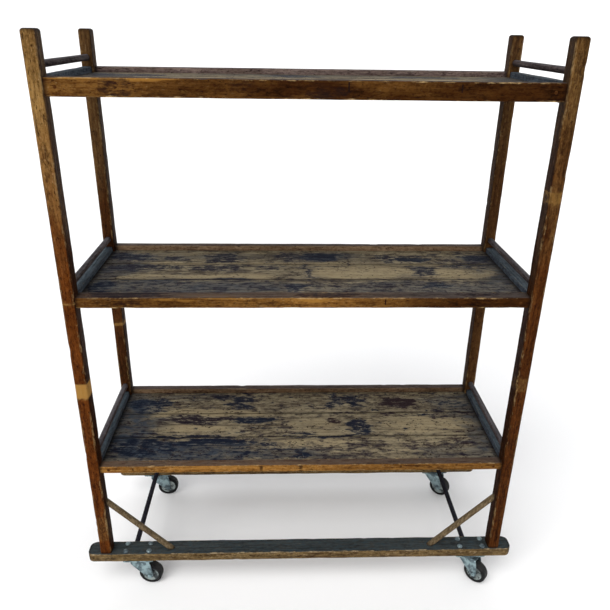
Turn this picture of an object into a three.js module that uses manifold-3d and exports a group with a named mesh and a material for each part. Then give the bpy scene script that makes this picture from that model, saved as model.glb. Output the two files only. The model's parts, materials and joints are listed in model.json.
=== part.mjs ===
// A wooden book cart on casters. Two flat runner planks lie along the cart, four posts stand on
// them, and three tray shelves hang between the posts. Round guard rails close the shelf ends,
// diagonal braces and two cross rods stiffen the base, and a swivel caster is bolted under each
// end of each runner.
// Millimetres. +X runs along the cart, +Y towards its back, +Z up, and the floor is at Z = 0.

import * as THREE from "three";
import { ConvexGeometry } from "three/addons/geometries/ConvexGeometry.js";
import { mergeVertices } from "three/addons/utils/BufferGeometryUtils.js";
import Module from "manifold-3d";

const wasm = await Module();
wasm.setup();

// ---- Driving dimensions -------------------------------------------------------------------

const CART_LENGTH = 1219; // over the posts
const CART_DEPTH = 449; // over the posts
const CART_HEIGHT = 1584; // floor to the tops of the posts

const POST_WIDTH = 34; // along X
const POST_DEPTH = 42; // along Y
const POST_EDGE = 5; // rounding of the long edges
const POST_CROWN = 7; // rounding of the top

const RUNNER_LENGTH = 1297;
const RUNNER_DEPTH = 57;
const RUNNER_THICKNESS = 31;
const RUNNER_PROUD = 4; // the runner's outer face stands out from the posts
const RUNNER_CORNER = 20; // rounding of the ends, seen from above

const SHELF_PITCH = 518.5; // rim to rim
const BOTTOM_RIM = 452; // top of the bottom shelf's rim above the floor
const RAIL_SETBACK = 4; // the rails' outer faces behind the posts' outer faces
const RAIL_EDGE = 3;
const BACK_RAIL_DEPTH = 26;
const END_RAIL_THICKNESS = 26;
const END_RAIL_SETBACK = 2;
const BOARD_BELOW_RIM = 15;
const BOARD_THICKNESS = 16;
const TONGUE_LENGTH = 10; // at each end of a board, let into the end rail's groove
const TONGUE_DROP = 4; // the tongue's upper side below the board's face
const BOARD_GAP = 1; // shrinkage gap between neighbouring boards
const BOARDS_PER_SHELF = 3;

const GUARD_RADIUS = 9;
const GUARD_ABOVE_RIM = 22.5;
const GUARD_TENON = 15; // length let into each post
const ROD_RADIUS = 8;
const ROD_OFFSET = 513; // from the cart's middle, along X
const ROD_TENON = 20; // length let into each runner
const BRACE_RADIUS = 9;
const BRACE_RISE = 184; // from the runner's top to where the brace's axis meets the post
const BRACE_SLOPE = THREE.MathUtils.degToRad(46.3);

const WHEEL_RADIUS = 36;
const TYRE_WIDTH = 26;
const TYRE_BORE = 25.2;
const HUB_RADIUS = 25;
const HUB_HALF_LENGTH = 14.5;
const WHEEL_SIDES = 28;
const SWIVEL_TRAIL = 33; // from the swivel's axis back to the axle
const AXLE_RADIUS = 4;
const CASTER_HEIGHT = 100; // floor to the top of the caster's plate

// Where each caster is bolted along its runner, and the direction in which its wheel trails, in
// degrees from +X. They were fitted by eye, so the four places differ by a few millimetres.
const CASTERS = [
  { face: "front", side: "left", x: -500, heading: -6 },
  { face: "front", side: "right", x: 525, heading: -42 },
  { face: "back", side: "left", x: -515, heading: 5 },
  { face: "back", side: "right", x: 502, heading: -36 },
];

const CLEARANCE = 0.3; // round a peg in its hole, and between parts in a turned assembly
const ROUND_SIDES = 16;

// The three shelves differ a little in the stock used for their rails.
const SHELVES = [
  { name: "bottom_shelf", railHeight: 25, frontDepth: 29, endHeight: 40 },
  { name: "middle_shelf", railHeight: 30, frontDepth: 41, endHeight: 40 },
  { name: "top_shelf", railHeight: 43, frontDepth: 29, endHeight: 49 },
];

const RUNNER_TOP = CASTER_HEIGHT + RUNNER_THICKNESS;
const RUNNER_CENTRE = CART_DEPTH / 2 + RUNNER_PROUD - RUNNER_DEPTH / 2;
const POST_INNER_X = CART_LENGTH / 2 - POST_WIDTH;
const POST_INNER_Y = CART_DEPTH / 2 - POST_DEPTH;
const POST_LENGTH = CART_HEIGHT - RUNNER_TOP;
const SIDES = [["left", -1], ["right", 1]];
const FACES = [["front", -1], ["back", 1]];
const rimHeight = (index) => BOTTOM_RIM + index * SHELF_PITCH;

// ---- Finishes -----------------------------------------------------------------------------

function finish(color, roughness, metalness = 0) {
  return new THREE.MeshStandardMaterial({ color, roughness, metalness });
}

const FINISHES = {
  post: finish(0x7a4a1e, 0.6),
  runner: finish(0x4b4a48, 0.7),
  rail: finish(0x7d4b20, 0.6),
  endRail: finish(0x434a50, 0.7),
  board: finish(0x77695a, 0.75),
  guard: finish(0x3d3a3c, 0.6),
  rod: finish(0x26242a, 0.6),
  brace: finish(0x7b5f43, 0.65),
  zinc: finish(0x9aa7ac, 0.4, 0.9),
  hub: finish(0x8d8f90, 0.45, 0.7),
  tyre: finish(0x17181a, 0.8),
};

// ---- Shape helpers ------------------------------------------------------------------------

const AXIS_X = new THREE.Vector3(1, 0, 0);
const AXIS_Y = new THREE.Vector3(0, 1, 0);
const AXIS_Z = new THREE.Vector3(0, 0, 1);

// Turns a shape drawn in XY and extruded along Z so that it is extruded along another axis.
const ALONG = {
  x: new THREE.Matrix4().makeBasis(AXIS_Y, AXIS_Z, AXIS_X),
  y: new THREE.Matrix4().makeBasis(AXIS_Z, AXIS_X, AXIS_Y),
  z: new THREE.Matrix4(),
};

// Turns a side view, drawn with the XY plane standing for XZ, so that it is extruded along -Y.
const SIDE_VIEW = new THREE.Matrix4().makeBasis(AXIS_X, AXIS_Z, AXIS_Y.clone().negate());

function toManifold(geometry) {
  const bare = geometry.clone();
  bare.deleteAttribute("normal");
  bare.deleteAttribute("uv");
  const merged = mergeVertices(bare, 1e-4);
  return new wasm.Manifold(
    new wasm.Mesh({
      numProp: 3,
      vertProperties: new Float32Array(merged.attributes.position.array),
      triVerts: new Uint32Array(merged.index.array),
    }),
  );
}

function toGeometry(manifold) {
  const { vertProperties, triVerts } = manifold.getMesh();
  const geometry = new THREE.BufferGeometry();
  geometry.setAttribute("position", new THREE.BufferAttribute(vertProperties, 3));
  geometry.setIndex(new THREE.BufferAttribute(triVerts, 1));
  geometry.computeVertexNormals();
  return geometry;
}

function join(geometries) {
  const [first, ...others] = geometries.map(toManifold);
  return others.reduce((sum, next) => sum.add(next), first);
}

// Joins the first list of geometries and cuts the second list out of them.
function shapeFrom(added, removed = []) {
  const body = join(added);
  return toGeometry(removed.reduce((rest, cutter) => rest.subtract(toManifold(cutter)), body));
}

function roundedRectangle(width, height, radius) {
  const x = width / 2;
  const y = height / 2;
  const shape = new THREE.Shape();
  shape.absarc(x - radius, y - radius, radius, 0, Math.PI / 2);
  shape.absarc(radius - x, y - radius, radius, Math.PI / 2, Math.PI);
  shape.absarc(radius - x, radius - y, radius, Math.PI, 1.5 * Math.PI);
  shape.absarc(x - radius, radius - y, radius, 1.5 * Math.PI, 2 * Math.PI);
  return shape;
}

// A flat shape given a thickness from z = low to z = high.
function slab(shape, low, high, curveSegments = 4) {
  const geometry = new THREE.ExtrudeGeometry(shape, {
    depth: high - low,
    bevelEnabled: false,
    curveSegments,
  });
  return geometry.translate(0, 0, low);
}

// A round bar along Z from z = low to z = high.
function pin(radius, low, high, x = 0, y = 0, sides = ROUND_SIDES) {
  const geometry = new THREE.CylinderGeometry(radius, radius, high - low, sides);
  return geometry.rotateX(Math.PI / 2).translate(x, y, (low + high) / 2);
}

// A round bar along Y from y = low to y = high.
function crossPin(radius, low, high, x = 0, z = 0, sides = ROUND_SIDES) {
  const geometry = new THREE.CylinderGeometry(radius, radius, high - low, sides);
  return geometry.translate(x, (low + high) / 2, z);
}

function piece(parent, name, geometry, material, x = 0, y = 0, z = 0, turn = 0) {
  const mesh = new THREE.Mesh(geometry, material);
  mesh.name = name;
  mesh.position.set(x, y, z);
  mesh.rotation.z = turn;
  parent.add(mesh);
  return mesh;
}

// A straight timber that fills the box from low to high, with its long edges eased.
function timber(parent, name, material, axis, low, high, edge = RAIL_EDGE) {
  const size = high.map((value, index) => value - low[index]);
  const centre = high.map((value, index) => (value + low[index]) / 2);
  const length = { x: size[0], y: size[1], z: size[2] }[axis];
  const [width, height] = { x: [size[1], size[2]], y: [size[2], size[0]], z: size }[axis];
  const geometry = slab(roundedRectangle(width, height, edge), -length / 2, length / 2, 2);
  geometry.applyMatrix4(ALONG[axis]);
  return piece(parent, name, geometry, material, ...centre);
}

// ---- Frame --------------------------------------------------------------------------------

// The post's corners at one height, pulled in on every side by the inset.
function postRing(z, inset) {
  const shape = roundedRectangle(POST_WIDTH - 2 * inset, POST_DEPTH - 2 * inset, POST_EDGE);
  return shape.getPoints(2).map((point) => new THREE.Vector3(point.x, point.y, z));
}

// A post with a crowned top and three blind holes for the guard rails in its inner face.
function postGeometry() {
  const crown = new ConvexGeometry([
    ...postRing(0, 0),
    ...postRing(POST_LENGTH - POST_CROWN, 0),
    ...postRing(POST_LENGTH - POST_CROWN / 3, POST_CROWN / 3),
    ...postRing(POST_LENGTH, POST_CROWN - 1),
  ]);
  const holes = SHELVES.map((shelf, index) =>
    crossPin(
      GUARD_RADIUS + CLEARANCE,
      POST_DEPTH / 2 - GUARD_TENON - CLEARANCE,
      POST_DEPTH,
      0,
      rimHeight(index) + GUARD_ABOVE_RIM - RUNNER_TOP,
    ),
  );
  return shapeFrom([crown], holes);
}

// A runner plank, bored for its caster bolts and, in its inner edge, for the cross rods.
function runnerGeometry(face, inward) {
  const outline = roundedRectangle(RUNNER_LENGTH, RUNNER_DEPTH, RUNNER_CORNER);
  const plank = slab(outline, 0, RUNNER_THICKNESS, 6);
  const holes = [];
  for (const caster of CASTERS.filter((entry) => entry.face === face)) {
    for (const [x, y] of BOLT_PLACES) {
      const radius = BOLT_RADIUS + BOLT_PLAY;
      holes.push(pin(radius, -1, RUNNER_THICKNESS + 1, caster.x + x, y, BOLT_SIDES));
    }
  }
  const holeFloor = RUNNER_DEPTH / 2 - ROD_TENON - CLEARANCE;
  const reach = [inward * holeFloor, inward * RUNNER_DEPTH].sort((a, b) => a - b);
  for (const [, right] of SIDES) {
    const radius = ROD_RADIUS + CLEARANCE;
    holes.push(crossPin(radius, ...reach, right * ROD_OFFSET, RUNNER_THICKNESS / 2));
  }
  return shapeFrom([plank], holes);
}

// A round brace in the XZ plane, cut off square to the post and level with the runner.
// It is drawn for a post standing to its left, whose inner face is x = 0, from z = 0 up.
function braceGeometry() {
  const length = 2 * BRACE_RISE;
  const rod = new THREE.CylinderGeometry(BRACE_RADIUS, BRACE_RADIUS, length, ROUND_SIDES);
  const run = BRACE_RISE / Math.tan(BRACE_SLOPE);
  rod.rotateZ(Math.PI / 2 - BRACE_SLOPE);
  rod.translate(run / 2, 0, 0);
  const upright = rod.rotateX(Math.PI / 2).translate(0, 0, BRACE_RISE / 2);
  const room = new THREE.BoxGeometry(length, length, length);
  room.translate(length / 2 + CLEARANCE, 0, length / 2 + CLEARANCE);
  return toGeometry(toManifold(upright).intersect(toManifold(room)));
}

function addFrame(cart) {
  const post = postGeometry();
  const brace = braceGeometry();
  for (const [face, back] of FACES) {
    const runner = runnerGeometry(face, -back);
    piece(cart, `runner_${face}`, runner, FINISHES.runner, 0, back * RUNNER_CENTRE, CASTER_HEIGHT);
    for (const [side, right] of SIDES) {
      const postX = right * (CART_LENGTH / 2 - POST_WIDTH / 2);
      const postY = back * (CART_DEPTH / 2 - POST_DEPTH / 2);
      const name = `${face}_${side}`;
      const postTurn = back < 0 ? 0 : Math.PI;
      piece(cart, `post_${name}`, post, FINISHES.post, postX, postY, RUNNER_TOP, postTurn);
      const footX = right * POST_INNER_X;
      const braceTurn = right < 0 ? 0 : Math.PI;
      piece(cart, `brace_${name}`, brace, FINISHES.brace, footX, postY, RUNNER_TOP, braceTurn);
    }
  }
  const rodHalf = RUNNER_CENTRE - RUNNER_DEPTH / 2 + ROD_TENON;
  const rod = crossPin(ROD_RADIUS, -rodHalf, rodHalf);
  for (const [side, right] of SIDES) {
    const rodZ = CASTER_HEIGHT + RUNNER_THICKNESS / 2;
    piece(cart, `cross_rod_${side}`, rod, FINISHES.rod, right * ROD_OFFSET, 0, rodZ);
  }
}

// ---- Shelves ------------------------------------------------------------------------------

const END_RAIL_INNER_X = CART_LENGTH / 2 - END_RAIL_SETBACK - END_RAIL_THICKNESS;

// An end rail's section, seen along Y: a rectangle with a groove for the boards' tongues.
function endRailSection(right, height) {
  const outer = CART_LENGTH / 2 - END_RAIL_SETBACK;
  const inner = END_RAIL_INNER_X;
  const grooveTop = -BOARD_BELOW_RIM - TONGUE_DROP;
  const grooveFloor = -BOARD_BELOW_RIM - BOARD_THICKNESS;
  const corners = [
    [outer, 0],
    [outer, -height],
    [inner, -height],
    [inner, grooveFloor],
    [inner + TONGUE_LENGTH, grooveFloor],
    [inner + TONGUE_LENGTH, grooveTop],
    [inner, grooveTop],
    [inner, 0],
  ];
  return new THREE.Shape(corners.map(([x, z]) => new THREE.Vector2(right * x, z)));
}

// A board's outline from y = near to y = far and out to x = end, notched round any post that it
// would run into.
function boardOutline(near, far, end) {
  const corner = (y, back) => {
    if (back * y <= POST_INNER_Y) return [[end, y]];
    const notchY = back * POST_INNER_Y;
    return [[POST_INNER_X, y], [POST_INNER_X, notchY], [end, notchY]];
  };
  const rightEdge = [...corner(near, -1), ...corner(far, 1).reverse()];
  const leftEdge = rightEdge.map(([x, y]) => [-x, y]).reverse();
  return new THREE.Shape([...rightEdge, ...leftEdge].map(([x, y]) => new THREE.Vector2(x, y)));
}

// A board whose face is z = 0, with a tongue at each end.
function boardGeometry(near, far) {
  const tongued = boardOutline(near, far, END_RAIL_INNER_X + TONGUE_LENGTH);
  return shapeFrom([
    slab(tongued, -BOARD_THICKNESS, -TONGUE_DROP),
    slab(boardOutline(near, far, END_RAIL_INNER_X), -BOARD_THICKNESS, 0),
  ]);
}

function addShelf(cart, shelf, rim) {
  const railFace = CART_DEPTH / 2 - RAIL_SETBACK;
  const railBottom = rim - shelf.railHeight;
  const frontInner = shelf.frontDepth - railFace;
  const backInner = railFace - BACK_RAIL_DEPTH;
  const rail = (face, near, far) =>
    timber(
      cart,
      `${shelf.name}_${face}_rail`,
      FINISHES.rail,
      "x",
      [-POST_INNER_X, near, railBottom],
      [POST_INNER_X, far, rim],
    );
  rail("front", -railFace, frontInner);
  rail("back", backInner, railFace);

  for (const [side, right] of SIDES) {
    const section = slab(endRailSection(right, shelf.endHeight), -POST_INNER_Y, POST_INNER_Y);
    const name = `${shelf.name}_${side}_end_rail`;
    piece(cart, name, section.applyMatrix4(SIDE_VIEW), FINISHES.endRail, 0, 0, rim);
  }

  const gaps = BOARD_GAP * (BOARDS_PER_SHELF - 1);
  const boardDepth = (backInner - frontInner - gaps) / BOARDS_PER_SHELF;
  for (let index = 0; index < BOARDS_PER_SHELF; index += 1) {
    const near = frontInner + index * (boardDepth + BOARD_GAP);
    const board = boardGeometry(near, near + boardDepth);
    const name = `${shelf.name}_board_${index + 1}`;
    piece(cart, name, board, FINISHES.board, 0, 0, rim - BOARD_BELOW_RIM);
  }

  const guardHalf = POST_INNER_Y + GUARD_TENON;
  const guard = crossPin(GUARD_RADIUS, -guardHalf, guardHalf);
  for (const [side, right] of SIDES) {
    const guardX = right * (CART_LENGTH / 2 - POST_WIDTH / 2);
    const name = `${shelf.name}_${side}_guard`;
    piece(cart, name, guard, FINISHES.guard, guardX, 0, rim + GUARD_ABOVE_RIM);
  }
}

// ---- Casters ------------------------------------------------------------------------------

const BOLT_RADIUS = 3.5;
const BOLT_SIDES = 8;
const BOLT_PLAY = 0.5;
const BOLT_SPACING_X = 70;
const BOLT_SPACING_Y = 30;
const BOLT_PLACES = [[-1, -1], [-1, 1], [1, -1], [1, 1]].map(([x, y]) => [
  (x * BOLT_SPACING_X) / 2,
  (y * BOLT_SPACING_Y) / 2,
]);
const BOLT_HEAD_RADIUS = 8;
const BOLT_HEAD_HEIGHT = 5;
const NUT_RADIUS = 6.5;
const NUT_HEIGHT = 5.5;

const PLATE_LENGTH = 92;
const PLATE_DEPTH = 54;
const PLATE_THICKNESS = 3;
const PLATE_BOTTOM = CASTER_HEIGHT - PLATE_THICKNESS;
const RACE_SIDES = 16;
const UPPER_RACE_RADIUS = 22;
const UPPER_RACE_BOTTOM = PLATE_BOTTOM - 4.5;

const FORK_TOP = UPPER_RACE_BOTTOM - 0.5;
const LOWER_RACE_RADIUS = 24;
const LOWER_RACE_HEIGHT = 4;
const CROWN_TOP = FORK_TOP - LOWER_RACE_HEIGHT;
const CROWN_THICKNESS = 3;
const CROWN_BOTTOM = CROWN_TOP - CROWN_THICKNESS;
const FORK_REAR = -24; // the fork's edge ahead of the swivel's axis
const FORK_FRONT = 34; // the fork's edge on the side where the wheel trails
const FORK_HALF_WIDTH = 18;
const LEG_THICKNESS = 2.5;
const AXLE_BOSS_RADIUS = 10;

const KINGPIN_RADIUS = 5;
const KINGPIN_HEAD_RADIUS = 8;
const KINGPIN_HEAD_HEIGHT = 3;

// A low domed bolt head whose underside is z = 0.
function boltHead() {
  const profile = [
    [0, 0],
    [BOLT_HEAD_RADIUS, 0],
    [BOLT_HEAD_RADIUS * 0.75, BOLT_HEAD_HEIGHT * 0.75],
    [0, BOLT_HEAD_HEIGHT],
  ];
  const points = profile.map(([radius, height]) => new THREE.Vector2(radius, height));
  return new THREE.LatheGeometry(points, BOLT_SIDES).rotateX(Math.PI / 2);
}

// The fixed half of a caster: plate, upper ball race, riveted kingpin and the four bolts that
// clamp the plate under the runner. Its origin is on the floor, under the swivel's axis.
function casterMountGeometry() {
  const plateOutline = roundedRectangle(PLATE_LENGTH, PLATE_DEPTH, 6);
  const headTop = CROWN_BOTTOM - 0.5;
  const parts = [
    slab(plateOutline, PLATE_BOTTOM, CASTER_HEIGHT, 3),
    pin(UPPER_RACE_RADIUS, UPPER_RACE_BOTTOM, PLATE_BOTTOM + 1, 0, 0, RACE_SIDES),
    pin(KINGPIN_RADIUS, headTop - 1, PLATE_BOTTOM),
    pin(KINGPIN_HEAD_RADIUS, headTop - KINGPIN_HEAD_HEIGHT, headTop),
  ];
  for (const [x, y] of BOLT_PLACES) {
    parts.push(pin(BOLT_RADIUS, PLATE_BOTTOM - NUT_HEIGHT - 2, RUNNER_TOP + 1, x, y, BOLT_SIDES));
    parts.push(pin(NUT_RADIUS, PLATE_BOTTOM - NUT_HEIGHT, PLATE_BOTTOM + 1, x, y, 6));
    parts.push(boltHead().translate(x, y, RUNNER_TOP));
  }
  return shapeFrom(parts);
}

// One leg of the fork, from the crown down to a round boss at the axle.
function forkLeg(low, high) {
  const bossLeft = 1.25 * Math.PI;
  const shape = new THREE.Shape();
  shape.moveTo(FORK_FRONT, CROWN_TOP);
  shape.lineTo(FORK_REAR, CROWN_TOP);
  shape.lineTo(FORK_REAR, CROWN_BOTTOM - 5);
  shape.absarc(SWIVEL_TRAIL, WHEEL_RADIUS, AXLE_BOSS_RADIUS, bossLeft, 2 * Math.PI);
  shape.lineTo(FORK_FRONT + 4, CROWN_BOTTOM - 12);
  return slab(shape, -high, -low, 6).applyMatrix4(SIDE_VIEW);
}

// The turning half of a caster: lower ball race, crown and two legs. It trails towards +X.
function forkGeometry() {
  const crownLength = FORK_FRONT - FORK_REAR;
  const crown = new THREE.BoxGeometry(crownLength, 2 * FORK_HALF_WIDTH, CROWN_THICKNESS);
  crown.translate((FORK_FRONT + FORK_REAR) / 2, 0, CROWN_BOTTOM + CROWN_THICKNESS / 2);
  const parts = [
    crown,
    pin(LOWER_RACE_RADIUS, CROWN_BOTTOM, FORK_TOP, 0, 0, RACE_SIDES),
    forkLeg(FORK_HALF_WIDTH - LEG_THICKNESS, FORK_HALF_WIDTH),
    forkLeg(-FORK_HALF_WIDTH, LEG_THICKNESS - FORK_HALF_WIDTH),
  ];
  const holes = [
    pin(KINGPIN_RADIUS + 0.5, CROWN_BOTTOM - 1, FORK_TOP + 1),
    crossPin(AXLE_RADIUS + CLEARANCE, -30, 30, SWIVEL_TRAIL, WHEEL_RADIUS),
  ];
  return shapeFrom(parts, holes);
}

// An axle bolt along Y with a hexagonal head and nut outside the fork's legs.
function axleGeometry() {
  const headRadius = 7;
  const headHeight = 5;
  const start = FORK_HALF_WIDTH + CLEARANCE;
  return shapeFrom([
    crossPin(AXLE_RADIUS, -start - 1, start + headHeight + 2),
    crossPin(headRadius, -start - headHeight, -start, 0, 0, 6),
    crossPin(headRadius, start, start + headHeight, 0, 0, 6),
  ]);
}

// Half of a symmetric wheel profile, as [radius, offset from the middle], mirrored and closed.
function wheelLathe(half, segments) {
  const mirrored = half.map(([radius, offset]) => [radius, -offset]).reverse();
  const loop = [...half, ...mirrored, half[0]];
  const points = loop.map(([radius, offset]) => new THREE.Vector2(radius, offset));
  return new THREE.LatheGeometry(points, segments);
}

// The tyre's tread is nearly flat and its shoulders are rounded.
function tyreGeometry() {
  const half = TYRE_WIDTH / 2;
  return wheelLathe(
    [
      [TYRE_BORE, -half],
      [WHEEL_RADIUS - 4, -half],
      [WHEEL_RADIUS - 1.2, -half + 2.2],
      [WHEEL_RADIUS, -half + 6],
    ],
    WHEEL_SIDES,
  );
}

// The hub has a long bushing, a dished web and a broad rim.
function hubGeometry() {
  return wheelLathe(
    [
      [AXLE_RADIUS + CLEARANCE, -HUB_HALF_LENGTH],
      [8, -HUB_HALF_LENGTH],
      [9, -8.5],
      [21, -8.5],
      [22, -11.5],
      [HUB_RADIUS, -11.5],
    ],
    WHEEL_SIDES,
  );
}

const CASTER_SHAPES = {
  mount: casterMountGeometry(),
  fork: forkGeometry(),
  axle: axleGeometry(),
  hub: hubGeometry(),
  tyre: tyreGeometry(),
};

function addCaster(cart, caster) {
  const name = `caster_${caster.face}_${caster.side}`;
  const x = caster.x;
  const y = caster.face === "front" ? -RUNNER_CENTRE : RUNNER_CENTRE;
  piece(cart, `${name}_mount`, CASTER_SHAPES.mount, FINISHES.zinc, x, y, 0);
  const swivel = new THREE.Group();
  swivel.position.set(x, y, 0);
  swivel.rotation.z = THREE.MathUtils.degToRad(caster.heading);
  cart.add(swivel);
  piece(swivel, `${name}_fork`, CASTER_SHAPES.fork, FINISHES.zinc);
  const wheel = new THREE.Group();
  wheel.position.set(SWIVEL_TRAIL, 0, WHEEL_RADIUS);
  swivel.add(wheel);
  piece(wheel, `${name}_axle`, CASTER_SHAPES.axle, FINISHES.zinc);
  piece(wheel, `${name}_hub`, CASTER_SHAPES.hub, FINISHES.hub);
  piece(wheel, `${name}_tyre`, CASTER_SHAPES.tyre, FINISHES.tyre);
}

// ---- Assembly -----------------------------------------------------------------------------

const cart = new THREE.Group();
addFrame(cart);
SHELVES.forEach((shelf, index) => addShelf(cart, shelf, rimHeight(index)));
CASTERS.forEach((caster) => addCaster(cart, caster));

// The trailing wheels reach past the runners, so the origin goes under the middle of the whole.
cart.updateMatrixWorld(true);
const bounds = new THREE.Box3().setFromObject(cart, true);
const middle = bounds.getCenter(new THREE.Vector3());
const group = new THREE.Group();
group.add(cart);
cart.position.set(-middle.x, -middle.y, -bounds.min.z);

export default group;
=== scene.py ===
import json
import math
from itertools import product

import bmesh
import bpy
import numpy as np
from mathutils import Matrix, Vector


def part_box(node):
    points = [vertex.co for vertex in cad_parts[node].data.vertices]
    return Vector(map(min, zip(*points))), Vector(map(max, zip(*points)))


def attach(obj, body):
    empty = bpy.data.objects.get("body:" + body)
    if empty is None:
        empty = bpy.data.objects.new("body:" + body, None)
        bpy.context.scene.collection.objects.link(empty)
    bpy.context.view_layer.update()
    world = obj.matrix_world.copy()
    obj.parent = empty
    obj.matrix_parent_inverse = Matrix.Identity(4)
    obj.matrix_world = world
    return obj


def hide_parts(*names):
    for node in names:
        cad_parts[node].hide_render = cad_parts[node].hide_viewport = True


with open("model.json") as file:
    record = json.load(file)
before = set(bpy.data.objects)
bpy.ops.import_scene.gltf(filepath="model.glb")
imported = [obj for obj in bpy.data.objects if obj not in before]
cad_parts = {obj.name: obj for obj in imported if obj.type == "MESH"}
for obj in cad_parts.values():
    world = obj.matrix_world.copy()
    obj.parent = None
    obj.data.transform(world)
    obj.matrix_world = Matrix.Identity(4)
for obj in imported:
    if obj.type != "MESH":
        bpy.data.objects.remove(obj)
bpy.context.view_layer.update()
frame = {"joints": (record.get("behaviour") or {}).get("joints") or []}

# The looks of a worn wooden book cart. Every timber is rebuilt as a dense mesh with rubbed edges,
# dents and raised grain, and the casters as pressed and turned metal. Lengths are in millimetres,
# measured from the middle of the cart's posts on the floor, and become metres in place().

MM = 0.001


def box_mm(*nodes):
    """The box round some CAD nodes, in cart millimetres."""
    corners = [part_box(node) for node in nodes]
    low = np.min([np.array(low) for low, high in corners], axis=0)
    high = np.max([np.array(high) for low, high in corners], axis=0)
    return (low - CENTRE) / MM, (high - CENTRE) / MM


POSTS = [f"post_{face}_{side}" for face in ("front", "back") for side in ("left", "right")]
CENTRE = np.zeros(3)
low, high = box_mm(*POSTS)
CENTRE = np.array([(low[0] + high[0]) / 2, (low[1] + high[1]) / 2, 0]) * MM

# ---- Fixed noise ----

# Large odd numbers that scatter neighbouring cells and seeds, and the 32 bits that are kept.
HASH = np.array([73856093, 19349663, 83492791], np.int64)
SEED_HASH, MIX_HASH = 668265263, 1274126177
WORD = 0xFFFFFFFF
LOW_BITS = 0xFFFFFF


def cell_value(cells, seed):
    """A fixed number from 0 to 1 for each whole-number cell."""
    h = (cells @ HASH + seed * SEED_HASH) & WORD
    h = ((h ^ (h >> 13)) * MIX_HASH) & WORD
    return ((h ^ (h >> 16)) & LOW_BITS) / LOW_BITS


def smooth_noise(points, seed=0):
    """Smooth noise from 0 to 1, with features about one unit across."""
    cell = np.floor(points).astype(np.int64)
    part = points - cell
    part = part * part * (3 - 2 * part)
    total = np.zeros(len(points))
    for corner in product((0, 1), repeat=3):
        weight = np.prod(np.where(corner, part, 1 - part), axis=1)
        total += weight * cell_value(cell + np.array(corner), seed)
    return total


def fractal(points, size, seed=0, octaves=3):
    """Layered noise from 0 to 1. size is the feature size in millimetres along x, y and z."""
    total, weight, scale = 0, 0, 1.0
    for octave in range(octaves):
        layer = smooth_noise(points * scale / np.array(size, float), seed + 17 * octave)
        total = total + layer / scale
        weight += 1 / scale
        scale *= 2
    return total / weight


def step(value, low, high):
    """0 below low, 1 above high, and smooth between."""
    t = np.clip((value - low) / (high - low), 0, 1)
    return t * t * (3 - 2 * t)


# ---- Meshes ----

AXES = {"x": 0, "y": 1, "z": 2}
ROUND_SIDES = 24


def linked(name, data):
    """A new object in the scene."""
    made = bpy.data.objects.new(name, data)
    bpy.context.scene.collection.objects.link(made)
    return made


def place(name, points, faces, material, body, nodes=(), slot=None, marks=None, smooth_deg=40):
    """Makes a piece from points in cart millimetres, and hangs it on its body."""
    mesh = bpy.data.meshes.new(name)
    mesh.from_pydata((np.asarray(points) * MM + CENTRE).tolist(), [], faces)
    for key, values in (marks or {}).items():
        layer = mesh.attributes.new(key, "FLOAT", "POINT")
        layer.data.foreach_set("value", np.asarray(values, np.float32))
    work = bmesh.new()
    work.from_mesh(mesh)
    bmesh.ops.remove_doubles(work, verts=work.verts, dist=1e-6)
    bmesh.ops.recalc_face_normals(work, faces=work.faces)
    work.to_mesh(mesh)
    work.free()
    mesh.materials.append(material)
    mesh.shade_smooth()
    mesh.set_sharp_from_angle(angle=math.radians(smooth_deg))
    piece = linked(name, mesh)
    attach(piece, body)
    if nodes:
        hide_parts(*nodes)


def merged(*shapes):
    """Several (points, faces) shapes as one."""
    points, faces, start = [], [], 0
    for some_points, some_faces in shapes:
        points.append(np.asarray(some_points, float))
        faces += [tuple(int(i) + start for i in face) for face in some_faces]
        start += len(some_points)
    return np.concatenate(points), faces


def moved(shape, matrix):
    """A shape carried by a 4 by 4 matrix."""
    points, faces = shape
    turn = np.array(matrix, float)
    return np.asarray(points) @ turn[:3, :3].T + turn[:3, 3], faces


def tube_faces(rings, around, capped=True):
    """Quads between successive rings of points, and a flat cap at each end."""
    faces = []
    for ring in range(rings - 1):
        near, far = ring * around, (ring + 1) * around
        for i in range(around):
            j = (i + 1) % around
            faces.append((near + i, near + j, far + j, far + i))
    if capped:
        faces.append(tuple(range(around - 1, -1, -1)))
        faces.append(tuple((rings - 1) * around + i for i in range(around)))
    return faces


def box_between(low, high):
    """A plain box, given by two opposite corners."""
    points = [[(low, high)[i][0], (low, high)[j][1], (low, high)[k][2]]
              for i in (0, 1) for j in (0, 1) for k in (0, 1)]
    faces = [(0, 1, 3, 2), (4, 6, 7, 5), (0, 4, 5, 1), (2, 3, 7, 6), (0, 2, 6, 4), (1, 5, 7, 3)]
    return np.array(points, float), faces


def rectangle_section(width, height, radius, spacing, fade=7.0):
    """Points round a rounded rectangle as (u, v, outward u, outward v, nearness to an edge)."""
    rows = []
    a, b = width / 2 - radius, height / 2 - radius
    corners = [(a, b, 0), (-a, b, 90), (-a, -b, 180), (a, -b, 270)]
    for index, (u, v, start) in enumerate(corners):
        for k in range(5):
            turn = math.radians(start + 90 * k / 4)
            c, s = math.cos(turn), math.sin(turn)
            rows.append((u + radius * c, v + radius * s, c, s, 1.0))
        nu, nv, _ = corners[(index + 1) % 4]
        out = (math.cos(math.radians(start + 90)), math.sin(math.radians(start + 90)))
        run = math.hypot(nu - u, nv - v)
        count = max(2, round(run / spacing))
        for k in range(1, count):
            t = k / count
            near = max(0.0, 1 - min(t, 1 - t) * run / fade)
            x, y = u + (nu - u) * t + radius * out[0], v + (nv - v) * t + radius * out[1]
            rows.append((x, y, *out, near))
    return np.array(rows)


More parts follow.
